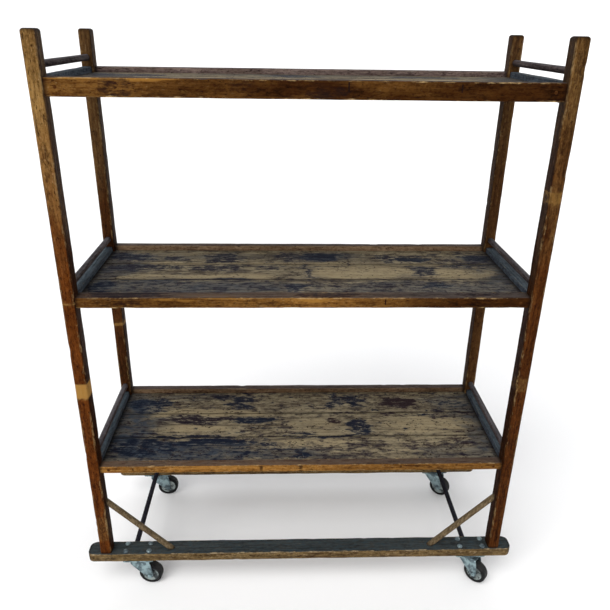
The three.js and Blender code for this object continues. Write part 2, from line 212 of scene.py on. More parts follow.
def round_section(radius):
    """Points round a circle, in the form that rectangle_section gives."""
    turn = np.arange(ROUND_SIDES) * 2 * math.pi / ROUND_SIDES
    c, s = np.cos(turn), np.sin(turn)
    return np.stack([radius * c, radius * s, c, s, np.zeros(ROUND_SIDES)], axis=1)


# The distance between a timber's rings of points, and where an end that is shaped has more.
RING_SPACING = 6.0
FINE_STEPS = np.array([0.4, 1.2, 2.4, 4, 6.5, 10, 15])
# The size of the broad unevenness of worn wood, across the grain and along it.
WEAR_ACROSS, WEAR_ALONG = 9.0, 60.0
# How far from an end the dirt that gathers there, and the painted shade where pieces meet, fade
# out.
REACH = 100


def timber(node, axis, section, material, slot, wear=1.2, dents=1.5, wave=0.5, ends=None,
           shape=None, marks=None, trim=0.0):
    """A piece of wood lofted along its length in the box of its CAD node. Everything that wears
    it takes material away, so that it stays in that box. ends(distance to the nearer end, place
    along the length) gives the two factors by which the section shrinks there, and trim is the
    length left out at each end."""
    low, high = box_mm(node)
    along = AXES[axis]
    across = [i for i in range(3) if i != along]
    middle = (low + high) / 2
    if axis == "y":
        across = across[::-1]
    first, last = low[along] + trim, high[along] - trim
    count = max(3, int((last - first) / RING_SPACING))
    rows = np.linspace(first, last, count + 1)
    if ends:
        rows = np.unique(np.concatenate([rows, first + FINE_STEPS, last - FINE_STEPS]))
    rings = len(rows)
    around = len(section)
    points = np.zeros((rings, around, 3))
    normals = np.zeros((rings, around, 3))
    scale = np.ones((rings, 2))
    if ends:
        scale = np.array([ends(min(row - first, last - row), row) for row in rows])
    for k in range(2):
        points[:, :, across[k]] = middle[across[k]] + section[None, :, k] * scale[:, None, k]
        normals[:, :, across[k]] = section[None, :, 2 + k]
    points[:, :, along] = rows[:, None]
    points, normals = points.reshape(-1, 3), normals.reshape(-1, 3)
    near = np.tile(section[:, 4], rings)
    stretch = np.full(3, WEAR_ACROSS)
    stretch[along] = WEAR_ALONG
    broad = fractal(points, stretch * 2.2, 3)
    chips = step(fractal(points, stretch * 0.55, 11, 2), 0.66, 0.9)
    depth = wave * broad + near * (wear * fractal(points, stretch, 5) + dents * chips)
    points = points - normals * depth[:, None]
    if shape:
        points = shape(points)
    faces = tube_faces(rings, around)
    reach = np.minimum(points[:, along] - first, last - points[:, along])
    layers = {"edge": near, "reach": np.clip(reach / REACH, 0, 1)}
    if marks:
        layers.update(marks(points, normals))
    place(f"{node}_worn", points, faces, material, "frame", [node], slot, layers)


def lathe(profile, around=48, x=0.0, y=0.0, z=0.0, turn=0.0, axis="z"):
    """A profile of (radius, offset) turned about an axis. One that doesn't close on itself gets
    a flat cap at each end."""
    points = []
    for r, h in profile:
        for i in range(around):
            a = turn + 2 * math.pi * i / around
            u, v = r * math.cos(a), r * math.sin(a)
            points.append((x + u, y + v, z + h) if axis == "z" else (x + u, y + h, z + v))
    return np.array(points), tube_faces(len(profile), around, profile[-1] != profile[0])


def stacked(section, levels):
    """A section carried up through levels of (height, inset), with its edges eased by insets."""
    points = [(u - nu * inset, v - nv * inset, height)
              for height, inset in levels for u, v, nu, nv, _ in section]
    return np.array(points), tube_faces(len(levels), len(section))


# ---- Materials ----


def srgb(red, green, blue):
    """A screen colour, 0 to 255, as the linear colour that shaders use."""
    shares = [c / 255 for c in (red, green, blue)]
    return [c / 12.92 if c <= 0.04045 else ((c + 0.055) / 1.055) ** 2.4 for c in shares] + [1.0]


# Blender's noise keeps near its middle, and is spread by this much to fill 0 to 1.
NOISE_SPREAD = 1.9


class Shader:
    """A procedural material, built up by short calls that return sockets."""

    def __init__(self, name):
        self.material = bpy.data.materials.new(name)
        self.material.use_nodes = True
        self.tree = self.material.node_tree
        self.tree.nodes.clear()
        out = self.tree.nodes.new("ShaderNodeOutputMaterial")
        self.surface = self.tree.nodes.new("ShaderNodeBsdfPrincipled")
        self.tree.links.new(self.surface.outputs[0], out.inputs[0])
        self.place = self.node("TexCoord").outputs["Object"]
        self.normal = self.node("NewGeometry").outputs["Normal"]
        self.colour = None

    def put(self, socket, value):
        """Links a socket into another, or sets its value."""
        if isinstance(value, bpy.types.NodeSocket):
            self.tree.links.new(value, socket)
        else:
            socket.default_value = value

    def node(self, kind, values=(), **settings):
        made = self.tree.nodes.new("ShaderNode" + kind)
        for key, value in settings.items():
            setattr(made, key, value)
        for index, value in dict(values).items():
            self.put(made.inputs[index], value)
        return made

    def math(self, operation, a, b=0.0, clamp=False):
        return self.node(
            "Math", {0: a, 1: b}, operation=operation, use_clamp=clamp
        ).outputs[0]

    def add(self, a, b):
        return self.math("ADD", a, b)

    def times(self, a, b):
        return self.math("MULTIPLY", a, b)

    def step(self, value, low, high, start=0.0, end=1.0):
        return self.node(
            "MapRange",
            {0: value, 1: low, 2: high, 3: start, 4: end},
            interpolation_type="SMOOTHSTEP",
        ).outputs[0]

    def mix(self, factor, a, b, blend="MIX"):
        made = self.node("Mix", data_type="RGBA", blend_type=blend)
        self.put(made.inputs[0], factor)
        self.put(made.inputs[6], a)
        self.put(made.inputs[7], b)
        return made.outputs[2]

    def noise(self, per_metre, detail=4.0, rough=0.55, warp=0.0, shift=0.0):
        """Noise from 0 to 1 with that many features to the metre along x, y and z."""
        where = self.node(
            "Mapping", {0: self.place, 1: (shift, shift * 1.7, shift * 0.6), 3: per_metre}
        ).outputs[0]
        values = {"Vector": where, "Scale": 1.0, "Detail": detail, "Roughness": rough}
        made = self.node("TexNoise", values)
        self.put(made.inputs["Distortion"], warp)
        centred = self.times(self.add(made.outputs["Fac"], -0.5), NOISE_SPREAD)
        return self.math("ADD", centred, 0.5, clamp=True)

    def layer(self, name):
        """A value painted on the mesh, or 0 where the mesh has none."""
        return self.node("Attribute", attribute_name=name).outputs["Fac"]

    def facing(self, axis):
        """How far the surface faces along an axis, from -1 to 1."""
        return self.node("SeparateXYZ", {0: self.normal}).outputs[axis]

    def bump(self, height, distance, strength):
        values = {"Strength": strength, "Distance": distance, "Height": height}
        return self.node("Bump", values).outputs[0]

    def over(self, factor, colour, blend="MIX"):
        """Lays a colour over what is there."""
        self.colour = self.mix(factor, self.colour, colour, blend)

    def finish(self, roughness, normal=None, metallic=0.0, gloss=0.5):
        self.put(self.surface.inputs["Base Color"], self.colour)
        self.put(self.surface.inputs["Roughness"], roughness)
        self.put(self.surface.inputs["Metallic"], metallic)
        self.put(self.surface.inputs["Specular IOR Level"], gloss)
        if normal is not None:
            self.put(self.surface.inputs["Normal"], normal)
        return self.material


NAVY = srgb(17, 19, 29)
BROWN_INK = srgb(34, 18, 10)
BARE_WOOD = srgb(148, 105, 42)
# Old varnish and dry wood hardly shine.
GLOSS = 0.03
VARNISH_ROUGHNESS = (0.52, 0.74)
# What multiplies the wood's colour where it has gone red, gone dark, or is speckled with dirt.
REDDEN = [0.40, 0.17, 0.05, 1.0]
DARKEN = [0.14, 0.095, 0.06, 1.0]
SPECKLED = [0.34, 0.27, 0.22, 1.0]


def shaded(colour, share):
    """A colour with less light in it."""
    return [c * share for c in colour[:3]] + [1.0]


def wood(name, axis, light, dark, deep, worn, top, top_grime_and_sheen=0.8, blotches=0.6,
         inner=None, shift=0.0, edging=1.0):
    """Old varnished wood. light and dark make the grain, deep the stains and pores, worn the
    rubbed edges, and top the grime on what faces up, with a painted reflection of the sky.
    The layers painted on the mesh add ink, bare patches, redder and darker stretches, and
    a painted shade in a colour of its own on faces that look into the cart. The colours are
    screen colours."""
    s = Shader(name)
    light, dark, deep, worn, top = (srgb(*c) for c in (light, dark, deep, worn, top))

    def grain(along, across, *settings):
        """Noise with that many features to the metre along the grain and across it."""
        return s.noise(tuple(along if name == axis else across for name in "xyz"), *settings)

    bands = grain(2.2, 42, 3, 0.55, 0.7, shift)
    streaks = grain(12, 210, 5, 0.62, 0.2, shift + 3)
    mottle = grain(52, 140, 6, 0.72, 0.4, shift + 4)
    fibres = grain(40, 800, 2, 0.5, 0, shift + 5)
    blotch = grain(8, 24, 6, 0.68, 0.5, shift + 7)
    flecks = grain(80, 210, 3, 0.6, 0, shift + 11)
    rough_mottle = s.add(mottle, -0.5)
    tone = s.add(s.times(bands, 0.22), s.add(s.times(streaks, 0.34), s.times(mottle, 0.44)))
    s.colour = s.mix(s.step(tone, 0.3, 0.7), light, dark)
    soaked = s.step(s.add(blotch, s.times(rough_mottle, 0.7)), 0.5, 0.95, 0, blotches)
    s.over(soaked, deep)
    s.over(s.step(fibres, 0.6, 0.95, 0, 0.4), deep)
    s.over(s.step(flecks, 0.68, 0.84, 0, 0.8), deep)
    speckle = grain(95, 150, 4, 0.75, 0.3, shift + 13)
    s.over(s.step(speckle, 0.45, 0.8, 0, 0.5), SPECKLED, "MULTIPLY")
    s.over(s.step(speckle, 0.4, 0.15, 0, 0.3), worn)
    pale = s.step(s.add(s.times(flecks, -1), s.times(streaks, -0.5)), -0.46, -0.32, 0, 0.65)
    s.over(pale, worn)
    # Painted shade on the faces that look into the cart.
    if inner:
        shade = s.times(s.layer("inner"), s.step(mottle, 0.2, 0.8, 0.95, 0.6))
        s.over(shade, srgb(*inner))
    s.over(s.layer("red"), REDDEN, "MULTIPLY")
    s.over(s.layer("dark"), DARKEN, "MULTIPLY")
    bareness = s.layer("bare")
    patch = s.times(s.step(s.add(bareness, s.times(rough_mottle, 0.5)), 0.3, 0.5), bareness)
    s.over(patch, s.mix(tone, BARE_WOOD, light))
    ruffle = s.add(s.times(s.add(streaks, -0.5), 0.6), s.times(rough_mottle, 1.0))
    ink = s.step(s.add(s.layer("ink"), ruffle), 0.25, 0.95)
    s.over(s.times(ink, 0.85), s.mix(s.layer("hue"), NAVY, BROWN_INK))
    # Grime on what faces up, and a painted reflection of the sky there, both in the top colour.
    up = s.step(s.facing("Z"), 0.5, 0.9)
    dust = s.times(up, s.step(mottle, 0.1, 0.8, top_grime_and_sheen, top_grime_and_sheen * 0.8))
    dust = s.times(dust, s.step(ink, 0, 1, 1, 0.1))
    s.over(dust, s.mix(s.step(tone, 0.3, 0.8), top, shaded(top, 0.3)))
    uneven = s.add(s.times(s.add(blotch, -0.5), 0.7), s.times(rough_mottle, 0.9))
    rubbed = s.step(s.add(s.layer("edge"), uneven), 0.95, 1.4)
    s.over(s.times(rubbed, edging), worn)
    # Dirt near the ends, with painted shade where the piece meets another.
    grime = s.step(s.layer("reach"), 0.0, 0.12, 0.75, 0)
    s.over(grime, shaded(deep, 0.4))
    shine = s.add(s.step(streaks, 0.2, 0.8, *VARNISH_ROUGHNESS), s.times(rubbed, 0.08))
    height = s.add(s.times(bands, 0.8), s.add(s.times(streaks, 1.0), s.times(mottle, 0.8)))
    return s.finish(shine, s.bump(height, 0.0012, 0.7), gloss=GLOSS)


def metal(name, bright, dull, rust, rough=0.42, metallic=0.85, rusting=0.5):
    """Plated steel gone dull, with dirt in its low places and a little rust."""
    s = Shader(name)
    cloud = s.noise((45, 45, 45), 5, 0.6, 0.3)
    specks = s.noise((260, 260, 260), 3, 0.6, 0)
    scratches = s.noise((60, 60, 900), 3, 0.6, 0)
    s.colour = s.mix(s.step(cloud, 0.35, 0.65), bright, dull)
    spotted = s.add(s.times(cloud, 0.6), s.times(specks, 0.4))
    rusty = s.step(spotted, 0.62, 0.78, 0, rusting)
    s.over(rusty, rust)
    grimy = s.times(s.layer("grimy"), s.step(cloud, 0.3, 0.7, 0.65, 1))
    s.over(grimy, srgb(54, 64, 70))
    shine = s.add(s.step(cloud, 0.3, 0.7, rough - 0.1, rough + 0.12), s.times(rusty, 0.3))
    shiny = s.times(s.step(rusty, 0, 1, metallic, 0.1), s.step(s.layer("grimy"), 0, 1, 1, 0.2))
    height = s.add(s.times(scratches, 0.5), s.add(specks, cloud))
    return s.finish(shine, s.bump(height, 0.0004, 0.5), shiny)


def rubber(name):
    """Black rubber, greyed by dust where it rolls."""
    s = Shader(name)
    cloud = s.noise((60, 60, 60), 5, 0.62, 0.4)
    grit = s.noise((900, 900, 900), 2, 0.6, 0)
    tread = s.layer("tread")
    dust = s.times(s.step(s.add(cloud, s.times(tread, 0.18)), 0.45, 0.75), 0.5)
    s.colour = s.mix(dust, srgb(9, 10, 12), srgb(56, 55, 53))
    return s.finish(s.step(cloud, 0.3, 0.7, 0.5, 0.8), s.bump(grit, 0.0003, 0.5), gloss=0.2)


def iron(name):
    """Dark matt iron, a little rusty."""
    s = Shader(name)
    cloud = s.noise((420, 420, 420), 3, 0.6, 0)
    s.colour = s.mix(s.step(cloud, 0.4, 0.65), srgb(16, 12, 12), srgb(40, 24, 18))
    return s.finish(0.85, s.bump(cloud, 0.0004, 0.6), gloss=GLOSS)


# ---- Marks on the wood ----

# Stains on the boards, as (x, y, half length, half width, strength, hue). Hue runs from 0, blue
# ink, to 1, a red-brown one. Negative strength is bare wood, where the stain has worn away.
BOTTOM_STAINS = [
    (-197, 129, 34, 42, 0.8, 0.1), (-254, 164, 38, 18, 0.7, 0.3), (127, 148, 30, 42, 0.8, 0.1),
    (186, 146, 30, 44, 0.8, 0.1), (330, 128, 48, 38, 1, 0.9), (505, 118, 62, 34, 0.4, 0),
    (-323, 33, 130, 24, 0.75, 0.6), (-142, 29, 62, 23, 1, 0), (-62, 33, 20, 9, 0.6, 0.4),
    (107, 29, 27, 20, 0.8, 0.9), (180, -5, 36, 50, 0.85, 0.1), (202, -36, 22, 17, 1, 0),
    (303, 52, 21, 13, 0.8, 0.9), (453, 40, 19, 25, 0.4, 0.8), (-40, -22, 24, 28, 0.5, 0.8),
    (-178, -25, 13, 18, 0.6, 0.7), (-370, -52, 215, 7, 0.9, 0.1), (-264, -88, 142, 20, 1, 0),
    (-480, -112, 95, 52, 0.75, 0), (0, -148, 17, 27, 0.9, 0), (100, -60, 130, 8, 0.7, 0.1),
    (355, -112, 62, 24, 0.45, 0.7), (492, -95, 34, 46, 0.45, 0.9), (-500, 120, 70, 48, 0.7, 0),
    (-330, -65, 62, 26, -1, 0), (45, -92, 142, 22, -0.7, 0), (-335, 70, 232, 13, -1, 0),
    (-340, -12, 120, 20, -0.7, 0), (400, -5, 160, 50, -0.6, 0), (40, -5, 80, 50, -0.5, 0),
    (-300, -125, 330, 70, 0.4, 0.1), (120, -130, 200, 60, 0.38, 0.6),
    (430, -140, 220, 40, 0.3, 0.5),
]
MIDDLE_STAINS = [
    (-505, 133, 80, 38, 0.8, 0.1), (-455, 37, 130, 27, 0.75, 0.3), (-540, -105, 46, 40, 0.8, 0),
    (-373, 114, 38, 20, 0.8, 0.3), (-235, 121, 52, 36, 0.75, 0.3), (-204, 136, 20, 46, 0.7, 0.2),
    (-39, 133, 46, 46, 0.65, 0.4), (61, 129, 56, 42, 1, 0), (122, 152, 16, 35, 0.6, 0.1),
    (261, 118, 40, 32, 0.7, 0.3), (342, 106, 44, 20, 1, 0), (523, 125, 48, 32, 0.8, 0.1),
    (-246, 29, 88, 28, 0.7, 0.4), (-85, 33, 38, 30, 0.45, 0.4), (3, 5, 16, 62, 0.75, 0.3),
    (342, 14, 40, 42, 0.75, 0.2), (450, 54, 44, 15, 0.7, 0.3), (530, 44, 24, 13, 0.6, 0.3),
    (-330, -112, 330, 66, 0.45, 0.3), (-15, -120, 26, 36, 0.8, 0.1),
    (330, -112, 330, 60, 0.42, 0.4), (365, -100, 40, 24, 0.7, 0), (-330, -60, 240, 6, 0.9, 0),
    (0, 72, 560, 10, -0.8, 0), (-362, 155, 77, 22, -0.7, 0), (-140, 164, 32, 16, -0.6, 0),
    (165, 5, 142, 55, -1, 0), (445, -12, 110, 40, -0.9, 0), (-300, -35, 232, 18, -0.7, 0),
]
TOP_STAINS = [
    (-470, 90, 120, 50, 0.7, 0.2), (-250, -60, 160, 30, 0.7, 0.4), (-40, 110, 90, 45, 0.8, 0),
    (150, -10, 130, 34, 0.7, 0.5), (330, 120, 110, 36, 0.8, 0.1), (480, -80, 90, 50, 0.6, 0.3),
    (40, -140, 170, 26, 0.7, 0.6), (-420, -130, 110, 30, 0.6, 0.8), (-120, 20, 200, 24, -0.8, 0),
    (300, 30, 190, 22, -0.8, 0), (-380, 10, 120, 26, -0.7, 0), (240, -120, 80, 20, -0.7, 0),
]

# Broad patches of slate-blue grime over the boards, in the same form. Their hue isn't used.
BOTTOM_GRIME = [
    (-600, 0, 150, 220, 1, 0), (-380, -130, 260, 62, 1, 0), (-60, -160, 190, 26, 0.8, 0),
    (600, 0, 90, 220, 0.9, 0), (470, -150, 150, 30, 0.6, 0), (-420, 165, 190, 22, 0.6, 0),
    (520, 130, 110, 50, 0.5, 0),
]
MIDDLE_GRIME = [
    (-600, 60, 120, 160, 0.9, 0), (-300, -118, 330, 62, 0.85, 0), (330, -122, 300, 58, 0.7, 0),
    (600, 0, 110, 220, 0.9, 0), (-330, 135, 260, 34, 0.5, 0), (60, 130, 120, 46, 0.7, 0),
]
TOP_GRIME = [
    (-600, 0, 150, 220, 0.9, 0), (600, 0, 150, 220, 0.9, 0), (0, 150, 400, 40, 0.5, 0),
    (-200, -160, 300, 26, 0.5, 0),
]


def stain_layers(points, table, plane, warp, seed):
    """Ink, hue and bareness at each point, from a table of stains in one plane."""
    a, b = points[:, plane[0]], points[:, plane[1]]
    a = a + warp * 90 * (fractal(points, (55, 20, 40), seed) - 0.5)
    b = b + warp * 44 * (fractal(points, (95, 13, 40), seed + 1) - 0.5)
    ink, hue, bare = np.zeros(len(points)), np.zeros(len(points)), np.zeros(len(points))
    for x, y, length, width, strength, tint in table:
        apart = np.hypot((a - x) / length, (b - y) / width)
        value = abs(strength) * step(1.35 - apart, 0, 0.7)
        if strength < 0:
            bare = np.maximum(bare, value)
            continue
        hue = np.where(value > ink, tint, hue)
        ink = np.maximum(ink, value)
    return ink, hue, bare


def board_paint(stains, grime, seed):
    """Layers for one shelf's boards: its stains, over a scatter of fainter ones and slate-blue
    grime."""

    def paint(points, normals):
        ink, hue, bare = stain_layers(points, stains, (0, 1), 1.0, seed)
        cloud = fractal(points, (150, 34, 60), seed + 5, 4)
        patch = fractal(points, (50, 16, 40), seed + 8, 3)
        faint = 0.55 * step(cloud, 0.46, 0.66) * step(patch, 0.3, 0.6)
        dots = fractal(points, (15, 9, 20), seed + 12, 2)
        drops = 0.9 * step(dots + 0.2 * (cloud - 0.5), 0.7, 0.8)
        under = normals[:, 2] < 0
        blue, _, _ = stain_layers(points, grime, (0, 1), 2.0, seed + 15)
        ink = np.maximum(np.maximum(ink, faint * (1 - bare)), drops * (1 - 0.6 * bare))
        ink = np.where(under, 0.5 * step(cloud, 0.45, 0.7), ink)
        hue = np.where(faint > ink - 0.01, 0.55, hue)
        return {"ink": ink, "hue": hue, "bare": np.where(under, 0, bare), "blue": blue}

    return paint


# Where along a rail its three shades lie: towards the left end, near the middle, to the right.
SHADE_PLACES = (-420, 60, 420)


def rail_paint(table, seed, shades, flat):
    """Layers for a rail: stains placed on its front face as (x, z, ...) and on its top, and how
    dark the wood has gone at its left end, middle and right end."""

    def paint(points, normals):
        low, high = points[:, 2].min(), points[:, 2].max()
        local = points - np.array([0, 0, (low + high) / 2])
        ink, hue, bare = stain_layers(local, table, (0, 2), 0.25, seed)
        top_ink, top_hue, top_bare = stain_layers(points, flat, (0, 1), 0.4, seed)
        up = normals[:, 2] > 0.6
        cloud = fractal(points, (160, 40, 40), seed + 4, 4)
        dark = np.interp(points[:, 0], SHADE_PLACES, shades) + 0.9 * (cloud - 0.5)
        return {
            "ink": np.where(up, top_ink, ink),
            "hue": np.where(up, top_hue, hue),
            "bare": np.where(up, top_bare, bare),
            "dark": np.clip(dark, 0, 1),
        }

    return paint


# The heights between which the posts turn from their upper colour to their lower one.
RED_FROM, RED_BELOW = 1460, 980


def post_paint(bands, side, face, shade, ruddy):
    """Layers for a post: painted shade on the faces that look into the cart, redder below the
    middle shelf, and pale bands of (height, half height, strength) where something was once
    wrapped round it. side and face say which way is outward, shade how dark the post has gone,
    and ruddy how red it is above the middle shelf and below it."""

    def paint(points, normals):
        cloud = fractal(points, (30, 30, 120), 71, 4)
        low_down = step(points[:, 2] + 700 * (cloud - 0.5), RED_FROM, RED_BELOW)
        bare = np.zeros(len(points))
        ragged = 5 * (fractal(points, (6, 6, 6), 73, 2) - 0.5)
        for height, half, strength in bands:
            away = np.abs(points[:, 2] + ragged - height)
            bare = np.maximum(bare, strength * step(half + 2 - away, 0, 4))
        # Painted shade: full on the faces that look along the cart towards its middle, less on
        # those that look across it.
        inner = step(-side * normals[:, 0], 0.45, 0.85)
        inner = np.maximum(inner, step(-face * normals[:, 1], 0.6, 0.9) * 0.6)
        red = ruddy[0] + (ruddy[1] - ruddy[0]) * low_down
        dark = shade + 0.8 * (fractal(points, (40, 40, 150), 75, 4) - 0.5)
        return {
            "red": red * (1 - bare), "bare": bare, "inner": inner,
            "dark": np.clip(dark, 0, 1) * (1 - 0.6 * inner),
        }

    return paint


# ---- Timbers ----

RUNNER_TOP = box_mm("runner_front")[1][2]
POST_INNER_X = box_mm("post_front_right")[0][0]
POST_INNER_Y = 182.2
END_RAIL_INNER_X = 581.5
POST_SIZE = (34, 42)
RUNNER_SIZE = (57, 31)
GUARD_RADIUS, GUARD_TRIM = 9, 12
ROD_RADIUS, ROD_TRIM = 8, 16
BOARD_THICKNESS, BOARD_TRIM, BOARD_GAP = 16, 9.8, 0.2
BOARD_NUMBERS = (1, 2, 3)
# Each shelf's stains, grime and seed.
SHELVES = {
    "bottom_shelf": (BOTTOM_STAINS, BOTTOM_GRIME, 40),
    "middle_shelf": (MIDDLE_STAINS, MIDDLE_GRIME, 60),
    "top_shelf": (TOP_STAINS, TOP_GRIME, 80),
}
SIDES = {"left": -1, "right": 1}
FACES = {"front": -1, "back": 1}

# The posts' last colour is the painted shade on the faces that look into the cart.
POST_WOOD = wood(
    "post_wood", "z", (152, 117, 66), (98, 70, 36), (46, 29, 15), (176, 146, 100),
    (58, 52, 54), inner=(34, 26, 26), blotches=0.65, edging=0.5,
)
RAIL_WOOD = wood(
    "rail_wood", "x", (158, 113, 54), (106, 66, 25), (46, 24, 11), (176, 146, 100),
    (78, 70, 66), top_grime_and_sheen=0.9, blotches=0.7,
)
BACK_RAIL_WOOD = wood(
    "back_rail_wood", "x", (152, 126, 98), (104, 80, 60), (46, 32, 27),
    (136, 118, 96), (74, 68, 70), top_grime_and_sheen=0.85, blotches=0.6, shift=4,
)
TOP_BACK_RAIL_WOOD = wood(
    "top_back_rail_wood", "x", (150, 131, 122), (98, 82, 80), (42, 32, 34),
    (134, 122, 112), (78, 76, 82), top_grime_and_sheen=0.85, blotches=0.6, shift=6,
)
BACK_RAIL_WOODS = {
    "bottom_shelf": BACK_RAIL_WOOD, "middle_shelf": BACK_RAIL_WOOD,
    "top_shelf": TOP_BACK_RAIL_WOOD,
}
END_RAIL_WOOD = wood(
    "end_rail_wood", "y", (78, 86, 94), (48, 53, 62), (28, 27, 33),
    (104, 104, 100), (80, 92, 100), top_grime_and_sheen=0.75, blotches=0.5,
)
RUNNER_WOOD = wood(
    "runner_wood", "x", (122, 101, 67), (68, 51, 29), (38, 28, 22), (168, 148, 116),
    (46, 60, 67), top_grime_and_sheen=0.98, blotches=0.5,
)
GUARD_WOOD = wood(
    "guard_wood", "y", (76, 66, 64), (48, 40, 42), (24, 20, 22), (110, 100, 96),
    (96, 94, 98), top_grime_and_sheen=0.7, blotches=0.5,
)
ROD_WOOD = wood(
    "rod_wood", "y", (38, 33, 38), (24, 21, 27), (14, 12, 16), (52, 48, 54),
    (46, 48, 56), top_grime_and_sheen=0.6, blotches=0.4,
)


def board_wood(name, shift):
    """The boards' wood: bare and weathered, soaked with ink, bluish towards the shelf ends."""
    s = Shader(name)
    bands = s.noise((1.8, 38, 30), 4, 0.55, 0.8, shift)
    streaks = s.noise((16, 170, 150), 6, 0.65, 0.3, shift + 3)
    mottle = s.noise((40, 84, 84), 7, 0.76, 0.1, shift + 4)
    fibres = s.noise((40, 800, 700), 2, 0.5, 0, shift + 5)
    blotch = s.noise((12, 26, 26), 6, 0.7, 0.7, shift + 7)
    flecks = s.noise((84, 130, 130), 3, 0.65, 0, shift + 11)
    rough_mottle = s.add(mottle, -0.5)
    tone = s.add(s.times(bands, 0.25), s.add(s.times(streaks, 0.32), s.times(mottle, 0.43)))
    s.colour = s.mix(s.step(tone, 0.32, 0.68), srgb(143, 131, 105), srgb(77, 67, 55))
    brown = s.add(s.times(blotch, 0.72), s.times(mottle, 0.28))
    s.over(s.step(brown, 0.42, 0.74, 0, 0.85), srgb(52, 45, 41))
    bare = s.step(s.add(s.layer("bare"), s.times(rough_mottle, 1.1)), 0.25, 0.7)
    s.over(s.times(bare, 0.85), s.mix(tone, srgb(176, 161, 126), srgb(108, 93, 70)))
    thin = s.step(s.add(blotch, s.times(rough_mottle, 0.5)), 0.25, 0.75, 1, 0.4)
    slate = s.mix(s.step(tone, 0.3, 0.7), srgb(60, 67, 76), srgb(21, 27, 38))
    s.over(s.times(s.layer("blue"), thin), slate)
    s.over(s.step(fibres, 0.62, 0.95, 0, 0.4), srgb(46, 38, 32))
    ruffle = s.add(s.times(s.add(streaks, -0.5), 0.75), s.times(rough_mottle, 1.7))
    soaked = s.add(s.layer("ink"), ruffle)
    wash = s.step(soaked, 0.27, 0.66)
    inks = s.mix(s.layer("hue"), srgb(13, 20, 36), srgb(36, 21, 24))
    washed = s.mix(s.layer("hue"), srgb(44, 54, 66), srgb(62, 51, 49))
    s.over(s.times(wash, 0.75), washed)
    s.over(s.step(soaked, 0.5, 0.85, 0, 0.95), inks)
    speckled = s.step(s.add(flecks, s.times(s.add(blotch, -0.5), 0.5)), 0.69, 0.78, 0, 0.9)
    s.over(speckled, srgb(28, 19, 24))
    under = s.step(s.facing("Z"), -0.5, 0.3, 0.55, 0)
    s.over(under, srgb(58, 46, 36))
    # Dirt and painted shade at the boards' ends, where they meet the end rails and posts, and
    # painted shade along the seams between them.
    grime = s.step(s.layer("reach"), 0.0, 0.16, 0.8, 0)
    seam_shade = s.times(s.layer("edge"), s.step(streaks, 0.2, 0.8, 0.8, 0.35))
    s.over(s.math("MAXIMUM", grime, seam_shade), srgb(22, 18, 18))
    shine = s.add(s.step(streaks, 0.2, 0.8, *VARNISH_ROUGHNESS), s.times(wash, -0.08))
    height = s.add(s.times(bands, 0.6), s.add(streaks, s.times(mottle, 0.8)))
    return s.finish(shine, s.bump(height, 0.0014, 0.8), gloss=GLOSS)


BOARD_WOOD = board_wood("board_wood", 2)


def crowned(distance, radius, width, height):
    """How a section shrinks at some distance from a rounded end, as two factors."""
    if distance >= radius:
        return 1.0, 1.0
    inset = radius - math.sqrt(radius**2 - (radius - distance) ** 2)
    return 1 - 2 * inset / width, 1 - 2 * inset / height


# Posts: a crowned top, and a foot that stands flat on the runner.
POST_BANDS = {
    "front_left": [(700, 22, 1.0), (955, 3, 0.5), (225, 45, 0.26)],
    "front_right": [(1229, 17, 0.42), (715, 22, 0.34)],
    "back_left": [(705, 8, 0.5)],
    "back_right": [(940, 10, 0.3)],
}
# How dark each post has gone, and how red above the middle shelf and below it.
POST_TONES = {
    "front_left": (0.08, (0.05, 0.95)),
    "front_right": (0.5, (0.2, 0.9)),
    "back_left": (0.25, (0.3, 0.85)),
    "back_right": (0.0, (0.45, 0.65)),
}


POST_MIDDLE, POST_CROWN = 1000, 7.0


def post_ends(distance, height):
    """How a post's section shrinks: at its top only."""
    if height < POST_MIDDLE:
        return 1.0, 1.0
    return crowned(distance, POST_CROWN, *POST_SIZE)


post_section = rectangle_section(*POST_SIZE, 5, 5)
for face, back in FACES.items():
    for side, right in SIDES.items():
        spot = f"{face}_{side}"
        timber(
            f"post_{spot}", "z", post_section, POST_WOOD, "post_wood",
            wear=1.6, dents=2.2, ends=post_ends,
            marks=post_paint(POST_BANDS[spot], right, back, *POST_TONES[spot]),
        )

# Runners: planks whose ends are rounded widely in plan, and a little from top to bottom.
RUNNER_CORNER, RUNNER_EASE = 20.0, 3.0


def runner_ends(distance, _):
    """How a runner's section shrinks towards its rounded ends."""
    across = crowned(distance, RUNNER_CORNER, *RUNNER_SIZE)[0]
    return across, crowned(distance, RUNNER_EASE, *RUNNER_SIZE)[1]


runner_section = rectangle_section(*RUNNER_SIZE, 3.5, 4.5)
for face in FACES:
    timber(
        f"runner_{face}", "x", runner_section, RUNNER_WOOD, "runner_wood",
        wear=2.2, dents=3.2, wave=0.8, ends=runner_ends,
    )

